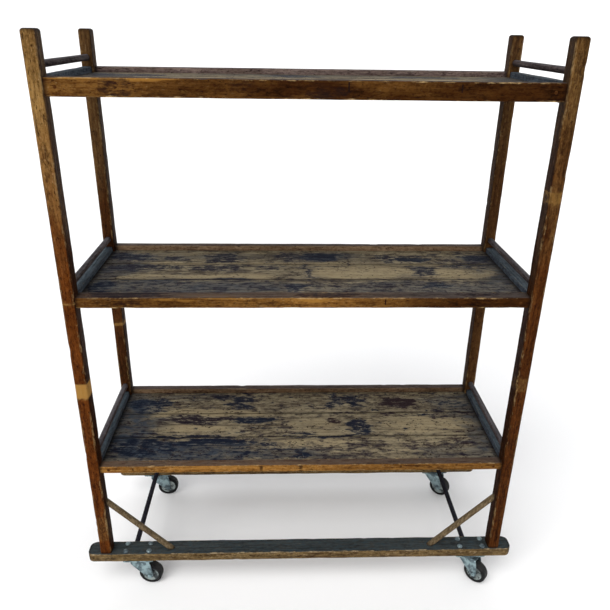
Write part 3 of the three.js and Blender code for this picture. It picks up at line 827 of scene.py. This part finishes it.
# Stains and bare strips on the front rails, as (x, height from the rail's middle, ...) on their
# front faces and as (x, y, ...) on their tops, and how dark each rail has gone.
FRONT_STAINS = {
    "top_shelf": [
        (-424, 0, 42, 40, 0.6, 0.8), (-150, 4, 40, 30, 0.45, 1), (38, -10, 52, 16, 0.7, 0.8),
        (10, 8, 30, 10, 0.5, 1), (-450, 19, 180, 4, -0.8, 0), (-170, 20, 70, 3, -0.5, 0),
        (-300, -6, 60, 8, -0.3, 0),
    ],
    "middle_shelf": [
        (-442, 0, 40, 30, 0.6, 1), (-90, -4, 80, 10, 0.5, 1), (20, 8, 40, 5, -0.7, 0),
        (-330, 8, 70, 5, -0.5, 0), (-100, 15, 260, 2.5, -0.6, 0), (420, 15, 120, 2, -0.2, 0),
    ],
    "bottom_shelf": [
        (-115, 0, 7, 14, 0.9, 1), (-8, 0, 7, 14, 1, 1), (-200, 4, 200, 7, -0.4, 0),
        (300, -2, 200, 8, 0.3, 1),
    ],
}
TOP_FACE_STAINS = {
    "middle_shelf": [
        (-460, -200, 110, 24, 1, 0), (55, -200, 86, 24, 0.9, 0.1),
        (440, -196, 80, 20, 0.7, 0.2), (-250, -205, 100, 12, -0.5, 0),
    ],
    "bottom_shelf": [(-300, -196, 200, 9, 0.5, 0.3), (250, -196, 150, 9, 0.4, 0.6)],
    "top_shelf": [(-200, -196, 200, 12, 0.6, 0.3), (300, -196, 180, 12, 0.5, 0.5)],
}
RAIL_SHADES = {
    "top_shelf": {"front": (0.6, 1.0, 1.05), "back": (0.35, 0.35, 0.35)},
    "middle_shelf": {"front": (0.78, 0.25, 1.1), "back": (0.0, 0.0, 0.1)},
    "bottom_shelf": {"front": (0.0, 0.1, 0.45), "back": (0.4, 0.4, 0.4)},
}


def housed(points):
    """Ends the boards at the end rails and notches them round the posts."""
    beside_post = np.abs(points[:, 1]) > POST_INNER_Y
    limit = np.where(beside_post, POST_INNER_X, END_RAIL_INNER_X) - BOARD_GAP
    points[:, 0] = np.clip(points[:, 0], -limit, limit)
    return points


# Rails, end rails, guards and boards of each shelf.
for shelf, look in SHELVES.items():
    for face in FACES:
        node = f"{shelf}_{face}_rail"
        low, high = box_mm(node)
        section = rectangle_section(high[1] - low[1], high[2] - low[2], 3, 4.5)
        if face == "front":
            material, stains, flat = RAIL_WOOD, FRONT_STAINS[shelf], TOP_FACE_STAINS[shelf]
        else:
            material, stains, flat = BACK_RAIL_WOODS[shelf], [], []
        timber(
            node, "x", section, material, "rail_wood", wear=1.6, dents=2.6,
            marks=rail_paint(stains, look[-1] + 3, RAIL_SHADES[shelf][face], flat),
        )
    for side in SIDES:
        node = f"{shelf}_{side}_end_rail"
        low, high = box_mm(node)
        section = rectangle_section(high[2] - low[2], high[0] - low[0], 2.5, 4.5)
        timber(
            node, "y", section, END_RAIL_WOOD, "end_rail_wood", wear=1.4, dents=2.0,
        )
        node = f"{shelf}_{side}_guard"
        timber(
            node, "y", round_section(GUARD_RADIUS), GUARD_WOOD, "guard_wood",
            wave=0.8, trim=GUARD_TRIM,
        )
    for index in BOARD_NUMBERS:
        node = f"{shelf}_board_{index}"
        low, high = box_mm(node)
        section = rectangle_section(high[1] - low[1], BOARD_THICKNESS, 1.2, 3.2, 4.0)
        timber(
            node, "x", section, BOARD_WOOD, "board_wood", wear=0.8, dents=1.2,
            wave=0.9, shape=housed, trim=BOARD_TRIM, marks=board_paint(*look),
        )

# The boards' tongues, which close the seams between them and along the long rails.
TONGUE_WIDTH, TONGUE_HEIGHT = 7, 4
tongues = []
for shelf in SHELVES:
    row = [f"{shelf}_front_rail"]
    row += [f"{shelf}_board_{index}" for index in BOARD_NUMBERS]
    row += [f"{shelf}_back_rail"]
    board_low, board_high = box_mm(f"{shelf}_board_2")
    level = (board_low[2] + board_high[2]) / 2
    for nearer, farther in zip(row, row[1:]):
        seam = (box_mm(nearer)[1][1] + box_mm(farther)[0][1]) / 2
        tongues.append(box_between(
            (1 - END_RAIL_INNER_X, seam - TONGUE_WIDTH / 2, level - TONGUE_HEIGHT / 2),
            (END_RAIL_INNER_X - 1, seam + TONGUE_WIDTH / 2, level + TONGUE_HEIGHT / 2),
        ))
place("board_tongues", *merged(*tongues), BOARD_WOOD, "frame", slot="board_wood")

for side in SIDES:
    node = f"cross_rod_{side}"
    timber(
        node, "y", round_section(ROD_RADIUS), ROD_WOOD, "rod_wood", wave=0.8,
        trim=ROD_TRIM,
    )

# ---- Braces ----

BRACE_RISE, BRACE_SLOPE, BRACE_RADIUS = 184, math.radians(46.3), 9
COS, SIN = math.cos(BRACE_SLOPE), math.sin(BRACE_SLOPE)
BRACE_RINGS, BRACE_GAP = 50, 0.4
BRACE_WOOD = wood(
    "brace_wood", "z", (118, 102, 78), (78, 64, 46), (42, 32, 26), (148, 132, 104),
    (106, 96, 78), top_grime_and_sheen=0.5, blotches=0.5,
)


def brace(node, right, middle_y):
    """A round stick from the post's inner face down to the runner, cut off flush at both."""
    section = round_section(BRACE_RADIUS)
    down = np.array([-right * COS, 0, -SIN])
    across = np.array([-right * SIN, 0, COS])
    top = np.array([right * POST_INNER_X, middle_y, RUNNER_TOP + BRACE_RISE])
    outward = section[:, 2:3] * across + section[:, 3:4] * np.array([0, 1.0, 0])
    offset = outward * BRACE_RADIUS
    start = BRACE_GAP / COS + right * offset[:, 0] / COS
    stop = (BRACE_RISE + offset[:, 2] - BRACE_GAP) / SIN
    shares = np.linspace(0, 1, BRACE_RINGS)
    along = start[None] + (stop - start)[None] * shares[:, None]
    points = (top + offset[None] + along[:, :, None] * down).reshape(-1, 3)
    normals = np.tile(outward, (len(shares), 1))
    depth = 0.7 * fractal(points, (25, 12, 25), 9)
    points = points - normals * depth[:, None]
    # Dirt and painted shade towards both ends, where the brace meets the post and the runner.
    reach = np.repeat(np.minimum(shares, 1 - shares) * 2.4, len(section))
    place(
        f"{node}_worn", points, tube_faces(len(shares), len(section)), BRACE_WOOD, "frame",
        [node], "brace_wood", {"reach": reach},
    )


for face in FACES:
    for side, right in SIDES.items():
        low, high = box_mm(f"post_{face}_{side}")
        brace(f"brace_{face}_{side}", right, (low[1] + high[1]) / 2)

# ---- Nails and pegs ----

IRON = iron("nail_iron")
PEG_WOOD = wood(
    "peg_wood", "y", (150, 96, 42), (112, 64, 24), (62, 34, 16), (160, 120, 70),
    (120, 80, 40), top_grime_and_sheen=0.2, blotches=0.3,
)


def against(face_y, back, shape):
    """Turns a shape that stands up from z = 0 so that it stands out of a front or back face."""
    return moved(shape, Matrix.Translation((0, face_y, 0)) @ Matrix.Rotation(
        math.radians(90 if back < 0 else -90), 4, "X"
    ))


PEG_RADIUS, PEG_PROUD, PEG_INSET = 4, 0.5, 24
PEG_END = [(PEG_RADIUS, -0.6), (PEG_RADIUS, PEG_PROUD * 0.4), (PEG_RADIUS * 0.7, PEG_PROUD)]
NAIL_HEAD = [(2.3, -0.6), (2.2, 0.1), (1.4, 0.45)]
CUT_NAIL_WIDTH = 3.2
NAIL_COLUMNS = (-571, -382, -191, 3, 188, 379, 571)
# Half the distance between the two rows of nails in a board, and how far a nail strays.
NAIL_ROW, NAIL_STRAY_X, NAIL_STRAY_Y, NAIL_SEED = 38, 16, 14, 5
# The part of a board that shows between the posts reaches this far from the middle.
BOARD_REACH = 182

pegs, nails = [], []
for shelf in SHELVES:
    for face, back in FACES.items():
        low, high = box_mm(f"{shelf}_{face}_rail")
        face_y = low[1] if back < 0 else high[1]
        level = (low[2] + high[2]) / 2
        for right in SIDES.values():
            peg = against(face_y, back, lathe(PEG_END, 14, right * (POST_INNER_X - PEG_INSET)))
            pegs.append(moved(peg, Matrix.Translation((0, 0, level))))
    for index in BOARD_NUMBERS:
        low, high = box_mm(f"{shelf}_board_{index}")
        middle = (max(low[1], -BOARD_REACH) + min(high[1], BOARD_REACH)) / 2
        for (column, x), row in product(enumerate(NAIL_COLUMNS), (-1, 1)):
            cell = np.array([column, index * 2 + row, int(high[2])])
            nudge = cell_value(cell, NAIL_SEED) - 0.5
            y = middle + row * NAIL_ROW + NAIL_STRAY_Y * nudge
            nails.append(lathe(NAIL_HEAD, 10, x + NAIL_STRAY_X * nudge, y, high[2] - 0.5))

# Cut nails driven into the front rails, as (shelf, x, height below the rim, length).
for shelf, x, drop, length in (
    ("top_shelf", 88, 15, 22), ("top_shelf", 340, 15, 18), ("middle_shelf", 203, 12, 15),
    ("bottom_shelf", -483, 12, 6), ("bottom_shelf", 282, 9, 6),
):
    low, high = box_mm(f"{shelf}_front_rail")
    section = rectangle_section(CUT_NAIL_WIDTH, length, 1.2, 6)
    slit = against(low[1], -1, stacked(section, [(-0.8, 0), (0.25, 0.1), (0.35, 0.5)]))
    nails.append(moved(slit, Matrix.Translation((x, 0, high[2] - drop))))

place("rail_pegs", *merged(*pegs), PEG_WOOD, "frame", slot="rail_wood")
place("frame_nails", *merged(*nails), IRON, "frame", slot="caster_zinc")

# ---- Casters ----

ZINC = metal("caster_zinc", srgb(150, 172, 176), srgb(96, 112, 118), srgb(60, 50, 44))
HUB = metal(
    "hub_metal", srgb(158, 168, 166), srgb(62, 68, 70), srgb(30, 27, 26), rough=0.46, metallic=0.6,
    rusting=0.8,
)
TYRE = rubber("tyre_rubber")

# A caster's shapes stand with the kingpin on the z axis and the wheel trailing along +x. TRAIL
# is the axle's distance from the kingpin, and FORK_HALF is half the fork's width outside.
TRAIL, WHEEL_RADIUS = 33, 36
FORK_HALF, FORK_TOP, FORK_BEND, FORK_COLUMNS = 18, 88, 5.5, 14
SHEET = 2.5
BOSS_RADIUS = 10
PLATE_SIZE = (92, 54)
BOLT_X, BOLT_Y = 35, 15


def on_axle(profile, around, y=0.0, turn=0.0):
    """A profile of (radius, offset) turned about the line of the axle."""
    return lathe(profile, around, TRAIL, y, WHEEL_RADIUS, turn, "y")


def mirrored(profile):
    return [(radius, -offset) for radius, offset in reversed(profile)]


def caster_mount():
    """Plate, upper ball race, kingpin head, and four carriage bolts with their nuts."""
    plate = rectangle_section(*PLATE_SIZE, 6, 12)
    parts = [
        stacked(plate, [(97, 0.6), (97.5, 0), (99.4, 0), (99.9, 0.5)]),
        lathe([(15, 92.7), (20.6, 92.7), (21.8, 93.6), (21.8, 95), (20, 96.4), (19.4, 97.3)], 56),
        lathe([(1, 81.6), (5.5, 81.9), (7.8, 83.1), (7.8, 84.4), (4.8, 84.6), (4.8, 93)], 28),
    ]
    dome = [(7.9, 0), (7.9, 0.5), (7.2, 2.0), (5.6, 3.5), (3.2, 4.6), (1.0, 4.95)]
    shank = [(3.4, 89.7), (3.4, 98)]
    nut = [(5.2, 91.6), (6.4, 92.3), (6.4, 96.2), (5.6, 97.1)]
    for x, y in product((-BOLT_X, BOLT_X), (-BOLT_Y, BOLT_Y)):
        parts.append(lathe(dome, 24, x, y, RUNNER_TOP - 0.1))
        parts.append(lathe(shank, 14, x, y))
        parts.append(lathe(nut, 6, x, y, turn=0.3 * x))
    return merged(*parts)


# The rear edge of a cheek runs from the round boss at REAR_LOW out to REAR_REACH behind the
# kingpin at REAR_HIGH.
REAR_LOW, REAR_HIGH, REAR_REACH = 28.9, 80, 24


def fork_edges(z):
    """How far back and forward one cheek of the fork reaches at a height."""
    if z < WHEEL_RADIUS:
        half = math.sqrt(max(0.0, BOSS_RADIUS**2 - (z - WHEEL_RADIUS) ** 2))
        front = TRAIL + half
    else:
        lean = 5 * min(1, (z - WHEEL_RADIUS) / 37)
        front = TRAIL + BOSS_RADIUS - lean - 4 * max(0.0, (z - 73) / 15)
    if z < REAR_LOW:
        return TRAIL - half, front
    drop = np.clip((REAR_HIGH - z) / (REAR_HIGH - REAR_LOW), 0, 1)
    return -REAR_REACH + (TRAIL - 7.1 + REAR_REACH) * drop**1.12, front


def fork_shape():
    """Two cheeks and a crown pressed from one sheet, with the lower ball race on top."""
    levels = [26.3, 27.5, 29, 32, 36, 41, 47, 54, 61, 68, 74, 79, 82]
    path = [(z, FORK_HALF, z, 0.0) for z in levels]
    for k in range(5):
        turn = math.radians(90 * k / 4)
        z = FORK_TOP - FORK_BEND + FORK_BEND * math.sin(turn)
        y = FORK_HALF - FORK_BEND + FORK_BEND * math.cos(turn)
        path.append((z, y, FORK_TOP, k / 4))
    path += [(FORK_TOP, y, FORK_TOP, 1.0) for y in (8, 4)]
    path = path + [(z, -y, level, lean) for z, y, level, lean in reversed(path)]
    points = []
    for z, y, level, lean in path:
        rear, front = fork_edges(min(level, z) if lean == 0 else FORK_TOP)
        spread = np.linspace(rear, front, FORK_COLUMNS)
        side = 1 if y >= 0 else -1
        inner_y = y - side * SHEET * math.cos(math.radians(90 * lean)) if abs(y) > 10 else y
        inner_z = z - SHEET * math.sin(math.radians(90 * lean))
        points += [(x, y, z) for x in spread]
        points += [(x, inner_y, inner_z) for x in spread[::-1]]
    sheet = np.array(points), tube_faces(len(path), 2 * FORK_COLUMNS)
    race = lathe([(19, 86), (23.2, 86.4), (23.8, 87.2), (23.8, 90.6), (22.6, 91.7), (14, 91.8)], 56)
    boss = [(8.5, 0), (8.5, 0.6), (7.4, 1.2)]
    bosses = on_axle(boss, 32, FORK_HALF - 0.2), on_axle(mirrored(boss), 32, 0.2 - FORK_HALF)
    return merged(sheet, race, *bosses)


def axle_shape():
    """The axle bolt, with a hexagonal head on one side and a nut on the other."""
    reach = FORK_HALF + 0.8
    shank = [(3.9, -reach - 0.5), (3.9, reach + 6)]
    head = [(6.0, 0), (6.9, 0.6), (6.9, 3.4), (5.8, 4.3)]
    nut = mirrored(head)
    return merged(on_axle(shank, 20), on_axle(head, 6, reach), on_axle(nut, 6, -reach, 0.4))


def wheel_profile(half):
    """A closed profile from its near half, given as (radius, distance from the middle)."""
    return half + mirrored(half) + half[:1]


def hub_shape():
    """The wheel's ribbed metal disc."""
    half = [
        (4.4, -14.4), (7.2, -14.4), (7.9, -13.8), (8.2, -9.6), (9.4, -8.7), (13.2, -8.5),
        (13.8, -9.3), (15.2, -9.3), (15.8, -8.5), (20.2, -8.6), (21.2, -9.6), (21.8, -11.1),
        (23.0, -11.5), (25.0, -11.4),
    ]
    return on_axle(wheel_profile(half), 64)


def tyre_shape():
    """A flat-sided tyre with a groove round the middle of its tread."""
    half = [
        (25.3, -12.2), (26.2, -12.9), (30.8, -12.9), (31.5, -12.4), (32.1, -12.7), (33.6, -12.1),
        (34.8, -10.7), (35.4, -8.6), (35.7, -6.0), (35.75, -2.5), (35.3, -1.9), (35.3, -0.9),
    ]
    return on_axle(wheel_profile(half), 72)


def caster_layers(part, points):
    """Dust on a tyre's tread, dirt low on a fork, and dull bolt heads on top of a runner."""
    if part == "tyre":
        apart = np.hypot(points[:, 0] - TRAIL, points[:, 2] - WHEEL_RADIUS)
        return {"tread": step(apart, 33.5, 35.5)}
    if part == "fork":
        return {"grimy": 0.7 * step(points[:, 2], 70, 34)}
    if part == "mount":
        return {"grimy": 0.8 * step(points[:, 2], RUNNER_TOP - 3, RUNNER_TOP - 1)}
    return {}


JOINTS = {joint["name"]: joint for joint in frame["joints"]}
for face in FACES:
    for side in SIDES:
        spot = f"{face}_{side}"
        pivot = (np.array(JOINTS[f"swivel_{spot}"]["pos_m"]) - CENTRE) / MM
        wheel = (np.array(JOINTS[f"wheel_{spot}"]["pos_m"]) - CENTRE) / MM
        heading = math.atan2(wheel[1] - pivot[1], wheel[0] - pivot[0])
        stand = Matrix.Translation((pivot[0], pivot[1], 0))
        swing = stand @ Matrix.Rotation(heading, 4, "Z")
        for part, shape, matrix, material, slot, body in (
            ("mount", caster_mount(), stand, ZINC, "caster_zinc", "frame"),
            ("fork", fork_shape(), swing, ZINC, "caster_zinc", f"swivel_{spot}"),
            ("axle", axle_shape(), swing, ZINC, "caster_zinc", f"swivel_{spot}"),
            ("hub", hub_shape(), swing, HUB, "hub_metal", f"wheel_{spot}"),
            ("tyre", tyre_shape(), swing, TYRE, "tyre_rubber", f"wheel_{spot}"),
        ):
            node = f"caster_{spot}_{part}"
            place(
                f"{node}_detail", *moved(shape, matrix), material, body, [node], slot,
                caster_layers(part, shape[0]), smooth_deg=32,
            )

# ---- Stage, light and camera ----


def pale_floor():
    s = Shader("floor_paint")
    cloud = s.noise((0.8, 0.8, 0.8), 3)
    s.colour = s.mix(cloud, srgb(253, 253, 253), srgb(254, 254, 255))
    return s.finish(0.9, gloss=0.0)


# A round floor that sweeps up into a plain wall all round, in metres.
FLOOR_RADIUS, SWEEP_RADIUS, WALL_TOP = 9.0, 3.0, 7.0
FLOOR_SIDES, SWEEP_STEPS = 96, 24
sweep = [(FLOOR_RADIUS, 0.0)]
for k in range(1, SWEEP_STEPS + 1):
    turn = math.radians(90 * k / SWEEP_STEPS)
    out, up = math.sin(turn), 1 - math.cos(turn)
    sweep.append((FLOOR_RADIUS + SWEEP_RADIUS * out, SWEEP_RADIUS * up))
sweep.append((FLOOR_RADIUS + SWEEP_RADIUS, WALL_TOP))
corners, walls = lathe(sweep, FLOOR_SIDES)
quads = [tuple(range(FLOOR_SIDES))] + [wall[::-1] for wall in walls[:-2]]
mesh = bpy.data.meshes.new("floor")
mesh.from_pydata(corners.tolist(), [], quads)
mesh.shade_smooth()
mesh.materials.append(pale_floor())
floor = linked("floor", mesh)


def soft_light(name, kind, direction, power, colour, where=(0, 0, 0)):
    """A lamp that shines in a direction, from a place in metres."""
    lamp = bpy.data.lights.new(name, kind)
    lamp.energy = power
    lamp.color = colour
    holder = linked(name, lamp)
    holder.location = where
    holder.rotation_euler = direction.to_track_quat("-Z", "Y").to_euler()
    return lamp


MIDDLE, KEY_PLACE = Vector((0, 0, 0.8)), Vector((-2.6, -2.6, 2.6))
key = soft_light("key", "AREA", MIDDLE - KEY_PLACE, 14, (1.0, 0.98, 0.95), KEY_PLACE)
key.size = 1.2
# A broad soft sun from the front, high and a little left, lights the floor evenly.
sky = soft_light("sky", "SUN", Vector((0.35, 0.6, -0.85)), 1.7, (1.0, 0.99, 0.97))
sky.angle = math.radians(45)

world = bpy.data.worlds.new("studio")
world.use_nodes = True
backdrop = world.node_tree.nodes["Background"]
backdrop.inputs["Color"].default_value = (0.97, 0.98, 1.0, 1.0)
backdrop.inputs["Strength"].default_value = 0.68
bpy.context.scene.world = world
bpy.context.scene.view_settings.view_transform = "Standard"

# The camera stands in front of the cart, a little left of its middle and just above its top.
YAW, PITCH, ROLL = 0.0396, 0.4151, 0.0153
CAMERA_PLACE = np.array([-58.8, -1662.0, 1586.6])
FOCAL_LENGTH = 36.74  # on a sensor 36 mm wide

aim = Vector(
    (math.sin(YAW) * math.cos(PITCH), math.cos(YAW) * math.cos(PITCH), -math.sin(PITCH))
)
level = Vector((math.cos(YAW), -math.sin(YAW), 0))
upright = level.cross(aim)
right_hand = math.cos(ROLL) * level + math.sin(ROLL) * upright
overhead = math.cos(ROLL) * upright - math.sin(ROLL) * level
lens = bpy.data.cameras.new("camera")
lens.lens = FOCAL_LENGTH
lens.sensor_width = 36
lens.clip_start = 0.05
lens.clip_end = 200
camera = linked("camera", lens)
turn = Matrix((right_hand, overhead, -aim)).transposed().to_4x4()
camera.matrix_world = Matrix.Translation(Vector(CAMERA_PLACE * MM + CENTRE)) @ turn
bpy.context.scene.camera = camera
